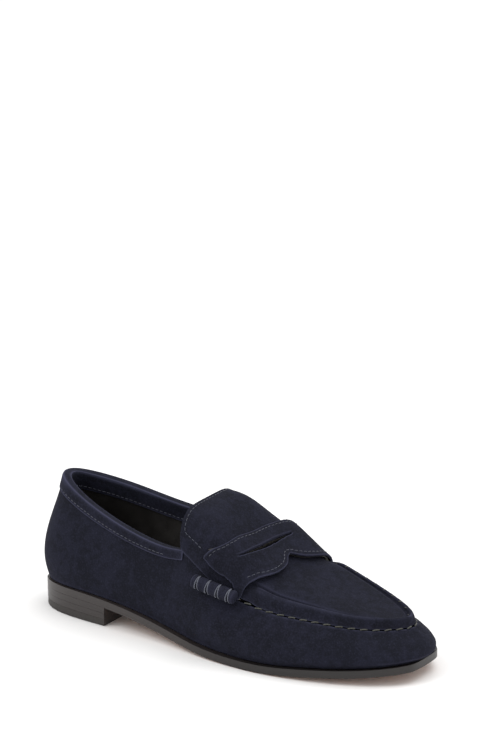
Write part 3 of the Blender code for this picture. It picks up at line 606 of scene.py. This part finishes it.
class MakeMaterials(LoaferOperator, bpy.types.Operator):
    """Make the suede, leathers, threads and the materials held inside"""
    bl_idname = "loafer.materials"
    bl_label = "Materials"

    def execute(self, context):
        _, colours = settings()
        suede_material("navy_suede_napped", colours)
        leather_material("black_calf_lining", colours.lining, 0.9, 0.5)
        sole_material("waxed_sole_leather", colours)
        grained_material("black_rubber_moulded", "#24201E", "#2E2A28", 1.2, 0.6)
        thread_material("sewing_thread", colours.thread)
        thread_material("waxed_hand_thread", colours.seam_thread)
        thread_material("corded_whip_thread", colours.whip_thread)
        grained_material("spring_steel_rolled", "#9A9C9F", "#B4B6B8", 4, 0.35, 1.0, 0.02)
        grained_material("fibre_insole_board", "#8C7250", "#A98C66", 2.5, 0.9)
        grained_material("ground_cork_filler", "#6E4E30", "#A37B50", 1.6, 0.95, 0.0, 0.3)
        grained_material("latex_foam", "#CDC3A5", "#DDD5BC", 1.0, 0.9)
        grained_material("fibre_stiffener", "#B5AB98", "#C9C0AE", 2.0, 0.85)
        stitch_row_tree()
        whip_stitch_tree()
        return {"FINISHED"}


class DressInside(LoaferOperator, bpy.types.Operator):
    """Give the pieces held inside the shoe their own materials"""
    bl_idname = "loafer.inside"
    bl_label = "Inner pieces"

    def execute(self, context):
        dressed = {
            "spring_steel_rolled": ["shank", *[f"heel_nail_{i}" for i in range(1, 6)]],
            "fibre_insole_board": ["insole_board"],
            "ground_cork_filler": ["forepart_filler"],
            "latex_foam": ["heel_pad"],
            "fibre_stiffener": ["heel_counter", "toe_puff"],
            "black_calf_lining": ["strap_backing"],
        }
        for material, nodes in dressed.items():
            for node in nodes:
                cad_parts[node].material_slots[0].material = get_material(material)
        return {"FINISHED"}


class MakeSole(LoaferOperator, bpy.types.Operator):
    """Make the outsole, the heel's lifts and its rubber top piece"""
    bl_idname = "loafer.sole"
    bl_label = "Sole and heel"

    def execute(self, context):
        pressed, level = 0.14 * MM, 0.3    # how far faces more level than this close their gap
        outsole = subdivided("outsole", 2, 1.0, upright=False)
        outsole.set_sharp_from_angle(angle=CORNER)
        add_piece("outsole_edge_waxed", outsole, "waxed_sole_leather", "sole_leather", "outsole")
        for node, material, slot in (("heel_lift_1", "waxed_sole_leather", "sole_leather"),
                                     ("heel_lift_2", "waxed_sole_leather", "sole_leather"),
                                     ("top_lift", "black_rubber_moulded", "rubber")):
            mesh = subdivided(node, 2, 1.0)
            points, normals = points_of(mesh), normals_of(mesh)
            # the layers are pressed together, so no light shows between them
            up = normals[:, 2]
            points[:, 2] += np.where(np.abs(up) > level, np.sign(up) * pressed, 0)
            if node == "top_lift":
                points[:, 2] = np.maximum(points[:, 2], 0)
            move_points(mesh, points)
            mesh.set_sharp_from_angle(angle=CORNER)
            add_piece(node + "_finished", mesh, material, slot, node)
        return {"FINISHED"}


class MakeLinings(LoaferOperator, bpy.types.Operator):
    """Make the linings and the sock that show inside the shoe"""
    bl_idname = "loafer.linings"
    bl_label = "Linings"

    def execute(self, context):
        for node in ("quarter_lining", "vamp_lining", "tongue_lining", "sock_lining"):
            add_piece(node + "_grained", subdivided(node, 1, 0.6), "black_calf_lining",
                      "lining_leather", node)
        return {"FINISHED"}


def gather(mesh, seam, pitch, height, reach, facing):
    """Push out the gathers that the seam's stitches pull in the suede, fading over a reach."""
    points, normals = points_of(mesh), normals_of(mesh)
    search, run = search_of(seam), run_of(seam)
    for i, point in enumerate(points):
        _, nearest, far = search.find(point)
        if far > 4 * reach or (normals[i] * facing(seam[nearest])).sum() < 0.1:
            continue
        along = run[nearest]
        ends = min(1.0, along / pitch, (run[-1] - along) / pitch)
        # uneven gathers, the lowest half as high as the highest
        swing = math.sin(along / pitch * 1.7 + 0.6) * 0.25 + 0.75
        wave = 0.5 - 0.5 * math.cos(2 * math.pi * along / pitch)
        points[i] += normals[i] * height * swing * wave * ends * math.exp(-far / reach)
    move_points(mesh, points)


def drawn_in(mesh, seam, reach, amount):
    """Draw an edge towards the seam's stitches, fading over a reach."""
    points = points_of(mesh)
    search = search_of(seam)
    for i, point in enumerate(points):
        nearest, _, far = search.find(point)
        if far < reach:
            pull = min(amount * (1 - far / reach), 0.7 * far)
            points[i] += (np.array(nearest) - point) / far * pull
    move_points(mesh, points)


def bead(mesh, seam, height, crease):
    """Raise the rolled edge's crest and press in the crease where it meets the apron's field."""
    points, normals = points_of(mesh), normals_of(mesh)
    search = search_of(seam * [1, 1, 0])
    # distances in plan from the seam to the crest and to the fold, and the half widths of both
    crest_at, crest_width = 2.6 * MM, 1.1 * MM
    fold_at, fold_width = 5.4 * MM, 0.8 * MM
    faded, run_in = 9 * MM, 20     # where both end, and the seam's points over which they begin
    for i, point in enumerate(points):
        _, nearest, far = search.find((point[0], point[1], 0))
        if far > faded or normals[i][2] < 0.1:
            continue
        ends = min(1.0, nearest / run_in, (len(seam) - 1 - nearest) / run_in)
        crest = math.exp(-((far - crest_at) / crest_width) ** 2)
        fold = math.exp(-((far - fold_at) / fold_width) ** 2)
        points[i] += normals[i] * ends * (height * crest - crease * fold)
    move_points(mesh, points)


class MakeUpper(LoaferOperator, bpy.types.Operator):
    """Make the suede wall of the upper with the gathers under its seam"""
    bl_idname = "loafer.upper"
    bl_label = "Upper"

    def execute(self, context):
        sizes, _ = settings()
        mesh, seam = subdivided("upper_wall", 2, 0.5), seam_line()
        gather(mesh, seam, sizes.seam_pitch, sizes.pucker, reach=8 * MM, facing=outward)
        drawn_in(mesh, seam, reach=2.4 * MM, amount=0.5 * MM)
        wear_and_highlight_edges(mesh, 0.8)
        add_piece("upper_suede", mesh, "navy_suede_napped", "suede", "upper_wall")
        return {"FINISHED"}


class MakeApron(LoaferOperator, bpy.types.Operator):
    """Make the apron and tongue in one suede piece, with its rolled seam edge"""
    bl_idname = "loafer.apron"
    bl_label = "Apron and tongue"

    def execute(self, context):
        sizes, _ = settings()
        mesh, seam = subdivided("apron_tongue", 2, 0.3), seam_line()
        gather(mesh, seam, sizes.seam_pitch, sizes.pucker * 0.7, reach=4 * MM,
               facing=lambda point: np.array([0.0, 0.0, 1.0]))
        bead(mesh, seam, height=0.55 * MM, crease=0.9 * MM)
        drawn_in(mesh, seam, reach=3.0 * MM, amount=1.0 * MM)
        wear_and_highlight_edges(mesh, 1.0)
        add_piece("apron_suede", mesh, "navy_suede_napped", "suede", "apron_tongue")
        return {"FINISHED"}


class MakeBinding(LoaferOperator, bpy.types.Operator):
    """Make the suede band folded over the collar"""
    bl_idname = "loafer.binding"
    bl_label = "Collar binding"

    def execute(self, context):
        mesh = subdivided("collar_binding", 2, 0.4)
        # a strong lightening along the band's folded top edge, partly wear and partly a painted
        # highlight on the rim
        wear_and_highlight_edges(mesh, 2.0)
        add_piece("collar_suede", mesh, "navy_suede_napped", "suede", "collar_binding")
        return {"FINISHED"}


class MakeStrap(LoaferOperator, bpy.types.Operator):
    """Make the saddle strap with its penny slot and softly cut edges"""
    bl_idname = "loafer.strap"
    bl_label = "Saddle strap"

    def execute(self, context):
        mesh = baked(merged("saddle_strap", quads=False), [
            ("REMESH", {"mode": "VOXEL", "voxel_size": 0.42 * MM}),
            ("SMOOTH", {"factor": 0.5, "iterations": 5})])
        # the end by the outer roll is pulled down behind it
        reach, drop, out = 5 * MM, 5.5 * MM, 0.4 * MM
        points = points_of(mesh)
        share = np.clip((points[:, 1].min() + reach - points[:, 1]) / reach, 0, 1)
        points[:, 2] -= share ** 2 * drop
        points[:, 1] -= share * out
        move_points(mesh, points)
        wear_and_highlight_edges(mesh, 1.3)
        add_piece("strap_suede", mesh, "navy_suede_napped", "suede", "saddle_strap")
        return {"FINISHED"}


def roll_frame(side):
    """A roll's centre, direction, two ends, radius, and the places of its stitches."""
    points = points_of(merged(f"beef_roll_{side}", quads=False))
    centre = points.mean(0)
    _, _, axes = np.linalg.svd(points - centre)
    along = axes[0] * np.sign(axes[0][0])
    run = (points - centre) @ along
    radius = np.linalg.norm(points - centre - run[:, None] * along, axis=1).max()
    stitches = []
    for number in range(1, 5):
        stitch = points_of(merged(f"whip_stitch_{side}_{number}", quads=False))
        stitches.append(((stitch - centre) @ along).mean())
    return centre, along, run.min(), run.max(), radius, stitches


class MakeRolls(LoaferOperator, bpy.types.Operator):
    """Make the strap's rolled ends, drawn in where each whip stitch crosses"""
    bl_idname = "loafer.rolls"
    bl_label = "Rolled ends"

    def execute(self, context):
        for side in ("outer", "inner"):
            centre, along, start, end, radius, stitches = roll_frame(side)
            level = np.cross(along, [0, 0, 1.0])
            level /= np.linalg.norm(level)
            upright = np.cross(level, along)
            run = np.linspace(start, end, 70)
            # plumper than a plain rod, rounded at its ends and pinched by each stitch
            plump, rounding, pinch = 1.13, 0.45, 0.24
            inside = np.minimum(run - start, end - run) / (1.6 * MM)
            wide = plump * radius * (1 - np.clip(1 - inside, 0, 1) ** 2.5 * rounding)
            for place in stitches:
                wide -= pinch * radius * np.exp(-((run - place) / (1.0 * MM)) ** 2)
            mesh = self.tube([centre + along * s for s in run], wide, level, upright)
            wear_and_highlight_edges(mesh, 0.6)
            node = f"beef_roll_{side}"
            add_piece(node + "_suede", mesh, "navy_suede_napped", "suede", node)
        return {"FINISHED"}

    def tube(self, middles, radii, level, upright, around=28):
        """Closed tube of rings that stand across a straight line."""
        turn = np.linspace(0, 2 * math.pi, around, endpoint=False)
        spokes = np.cos(turn)[:, None] * level + np.sin(turn)[:, None] * upright
        shape = bmesh.new()
        rings = [[shape.verts.new(p) for p in middle + radius * spokes]
                 for middle, radius in zip(middles, radii)]
        for one, two in zip(rings, rings[1:]):
            for i in range(around):
                k = (i + 1) % around
                shape.faces.new((one[i], one[k], two[k], two[i]))
        for ring in (rings[0], rings[-1]):
            hub = shape.verts.new(sum((v.co for v in ring), Vector()) / around)
            for i in range(around):
                shape.faces.new((ring[i], ring[(i + 1) % around], hub))
        bmesh.ops.recalc_face_normals(shape, faces=shape.faces)
        mesh = bpy.data.meshes.new("roll")
        shape.to_mesh(mesh)
        shape.free()
        mesh.shade_smooth()
        return mesh


class MakeWhipStitches(LoaferOperator, bpy.types.Operator):
    """Wrap the rolls with their whip stitches"""
    bl_idname = "loafer.whip_stitches"
    bl_label = "Whip stitches"

    def execute(self, context):
        sizes, _ = settings()
        for side, out in (("outer", -1.0), ("inner", 1.0)):
            centre, along, _, _, radius, stitches = roll_frame(side)
            level = np.cross(along, [0, 0, 1.0])
            level *= out * np.sign(level[1]) / np.linalg.norm(level)
            upright = np.cross(level, along)
            upright *= np.sign(upright[2])
            lean = math.radians(18)
            start = upright * math.cos(lean) - level * math.sin(lean)
            if out < 0:
                along = -along
                stitches = [-s for s in stitches][::-1]
            points = [centre + along * s for s in sorted(stitches)]
            mesh = row_mesh(bpy.data.node_groups["whip_stitches"], points, [start] * len(points),
                            Reach=radius + sizes.whip_thread * 0.55, Radius=sizes.whip_thread,
                            Spread=sizes.whip_spread, Turns=0.47,
                            Thread=get_material("corded_whip_thread"))
            add_piece(f"whip_stitches_{side}", mesh, "corded_whip_thread", "thread",
                      *[f"whip_stitch_{side}_{i}" for i in range(1, 5)])
        return {"FINISHED"}


class MakeSeamStitches(LoaferOperator, bpy.types.Operator):
    """Lay the hand stitches in the groove of the apron seam and inside its rolled edge"""
    bl_idname = "loafer.seam_stitches"
    bl_label = "Seam stitches"

    def execute(self, context):
        sizes, _ = settings()
        seam = seam_line()
        out = outward(seam)
        up = out * 0.7 + np.array([0, 0, 0.7])
        groove = row_mesh(bpy.data.node_groups["stitch_row"], seam + up * 0.1 * MM, up,
                          Pitch=sizes.seam_pitch, Length=sizes.seam_stitch, Radius=sizes.seam_thread,
                          Rise=0.55 * MM, Slant=0.16, Unevenness=0.08, Seed=3,
                          Thread=get_material("waxed_hand_thread"))
        surface = tree_of(bpy.data.objects["apron_suede"].data)
        # a second row lies in the fold inside the rolled edge, on the inner side only
        to_fold, inner_side = 5.2 * MM, seam[:, 1] > 8 * MM
        inside, ups = laid((seam - out * to_fold)[inner_side][:, :2], surface)
        inner = row_mesh(bpy.data.node_groups["stitch_row"], inside, ups, Pitch=sizes.seam_pitch,
                         Length=1.8 * MM, Radius=sizes.seam_thread * 0.75, Rise=0.3 * MM, Slant=0.5,
                         Unevenness=0.15, Seed=5, Thread=get_material("waxed_hand_thread"))
        add_piece("seam_hand_stitches", joined([groove, inner]), "waxed_hand_thread", "thread",
                  "apron_seam_thread")
        return {"FINISHED"}


class MakeRowStitches(LoaferOperator, bpy.types.Operator):
    """Sew the machine rows on the strap, the tongue and the collar binding"""
    bl_idname = "loafer.row_stitches"
    bl_label = "Machine stitches"

    def execute(self, context):
        sizes, _ = settings()
        strap = tree_of(bpy.data.objects["strap_suede"].data)
        rear, ahead = (resampled(line, 1.5 * MM) for line in plan_edges("saddle_strap", 1))
        rows = [laid(inset(rear, -sizes.strap_row)[3:-3], strap),
                laid(inset(ahead, sizes.strap_row)[3:-3], strap)]
        add_piece("strap_stitches", joined([machine_row(p, n, sizes) for p, n in rows]),
                  "sewing_thread", "thread")
        apron = tree_of(bpy.data.objects["apron_suede"].data)
        outer, inner = plan_edges("apron_tongue", 0)
        stop_outer = outer[:, 0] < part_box("beef_roll_outer")[0].x + 1 * MM
        stop_inner = inner[:, 0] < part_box("beef_roll_inner")[0].x + 1 * MM
        outline = np.vstack([outer[stop_outer][::-1], inner[stop_inner]])
        outline = smoothed(resampled(outline, 1.0 * MM), 6)
        row = laid(inset(outline, -sizes.tongue_row)[1:-1], apron)
        add_piece("tongue_stitches", machine_row(*row, sizes), "sewing_thread", "thread")
        add_piece("binding_stitches", joined(self.binding_rows(sizes)), "sewing_thread", "thread")
        return {"FINISHED"}

    def binding_rows(self, sizes):
        """One row near the band's lower edge outside the collar, and one inside."""
        mesh = bpy.data.objects["collar_suede"].data
        surface = tree_of(mesh)
        points = points_of(mesh)
        centre = Vector(((points[:, 0].min() + points[:, 0].max()) / 2, 0, 0))
        rows = []
        for inside in (False, True):
            places, ups = [], []
            # level rays round the collar, leaving out the tongue in front
            for turn in np.linspace(math.radians(38), math.radians(322), 150):
                ray = Vector((math.cos(turn), math.sin(turn), 0))
                hits = []
                for z in np.arange(points[:, 2].max(), points[:, 2].min(), -0.5 * MM):
                    origin = centre + Vector((0, 0, z)) + (Vector() if inside else ray * 0.2)
                    hit, normal, _, _ = surface.ray_cast(origin, ray if inside else -ray)
                    # a jump this wide means that the ray has left the band
                    if hits and hit is not None and (hit - hits[-1][0]).xy.length > 3 * MM:
                        break
                    if hit is not None and ((hit - centre).xy.dot(ray.xy) > 0):
                        hits.append((hit, normal))
                if len(hits) > 6:
                    wanted = hits[-1][0].z + sizes.binding_row
                    hit, normal = min(hits, key=lambda h: abs(h[0].z - wanted))
                    places.append(hit)
                    ups.append(normal)
            rows.append(machine_row(smoothed(places, 3), ups, sizes))
        return rows


class MakeStage(LoaferOperator, bpy.types.Operator):
    """Set the pale floor, the soft studio light and the camera"""
    bl_idname = "loafer.stage"
    bl_label = "Stage"

    def execute(self, context):
        scene = context.scene
        scene.view_settings.view_transform = "Standard"
        mesh = bpy.data.meshes.new("floor")
        mesh.from_pydata([(-9, -9, 0), (9, -9, 0), (9, 9, 0), (-9, 9, 0)], [], [(0, 1, 2, 3)])
        floor = bpy.data.objects.new("floor", mesh)
        floor.location.z = -0.4 * MM
        material, _, shader, _ = new_material(
            "white_paper_sweep", Roughness=0.9, Specular_IOR_Level=0.2)
        shader.inputs["Base Color"].default_value = (0.86, 0.855, 0.85, 1)
        mesh.materials.append(material)
        scene.collection.objects.link(floor)
        world = bpy.data.worlds.new("studio")
        world.use_nodes = True
        world.node_tree.nodes["Background"].inputs["Color"].default_value = (1, 1, 1, 1)
        world.node_tree.nodes["Background"].inputs["Strength"].default_value = 1.02
        scene.world = world
        for name, place, size, energy in (("key", (-0.9, -1.1, 1.5), 1.2, 12.0),
                                          ("top", (0.3, 0.5, 1.6), 1.6, 13.0)):
            light = bpy.data.lights.new(name, "AREA")
            light.shape = "DISK"
            light.size = size
            light.energy = energy
            lamp = bpy.data.objects.new(name, light)
            lamp.location = place
            lamp.rotation_euler = Vector(place).to_track_quat("Z", "Y").to_euler()
            scene.collection.objects.link(lamp)
        scene.collection.objects.link(self.camera())
        return {"FINISHED"}

    def camera(self):
        """Long lens from the outer front quarter, with the shoe low in the frame."""
        # seen from this quarter and height, with the lens aimed above the shoe
        azimuth, elevation = math.radians(32.7), math.radians(20.31)
        raised, distance = math.radians(2.89), 2.319
        target = Vector((0.0038, 0.0003, 0.041))
        back = Vector((math.sin(azimuth) * math.cos(elevation),
                       -math.cos(azimuth) * math.cos(elevation), math.sin(elevation)))
        right = Vector((math.cos(azimuth), math.sin(azimuth), 0))
        up = back.cross(right)
        look_back = (back * math.cos(raised) - up * math.sin(raised) + right * 0.00054).normalized()
        up = look_back.cross(right).normalized()
        data = bpy.data.cameras.new("camera")
        data.sensor_fit = "VERTICAL"
        data.sensor_height = 36
        data.lens = 195.65
        data.clip_end = 40
        camera = bpy.data.objects.new("camera", data)
        turned = Matrix((up.cross(look_back), up, look_back)).transposed().to_4x4()
        camera.matrix_world = Matrix.Translation(target + back * distance) @ turned
        bpy.context.scene.camera = camera
        return camera


class LoaferPanel(bpy.types.Panel):
    bl_idname = "VIEW3D_PT_loafer"
    bl_label = "Penny Loafer"
    bl_space_type = "VIEW_3D"
    bl_region_type = "UI"
    bl_category = "Loafer"

    def draw(self, context):
        for group in (context.scene.loafer_sizes, context.scene.loafer_colours):
            column = self.layout.column(align=True)
            for name in group.__annotations__:
                column.prop(group, name)
        for operator in OPERATORS:
            self.layout.operator(operator.bl_idname)


OPERATORS = (MakeMaterials, DressInside, MakeSole, MakeLinings, MakeUpper, MakeApron, MakeBinding,
             MakeStrap, MakeRolls, MakeWhipStitches, MakeSeamStitches, MakeRowStitches, MakeStage)
CLASSES = (LoaferSizes, LoaferColours, *OPERATORS, LoaferPanel)


def register():
    for cls in CLASSES:
        bpy.utils.register_class(cls)
    bpy.types.Scene.loafer_sizes = PointerProperty(type=LoaferSizes)
    bpy.types.Scene.loafer_colours = PointerProperty(type=LoaferColours)


def unregister():
    del bpy.types.Scene.loafer_sizes
    del bpy.types.Scene.loafer_colours
    for cls in reversed(CLASSES):
        bpy.utils.unregister_class(cls)


def main():
    register()
    for operator in OPERATORS:
        group, name = operator.bl_idname.split(".")
        getattr(getattr(bpy.ops, group), name)()


if __name__ == "__main__":
    main()
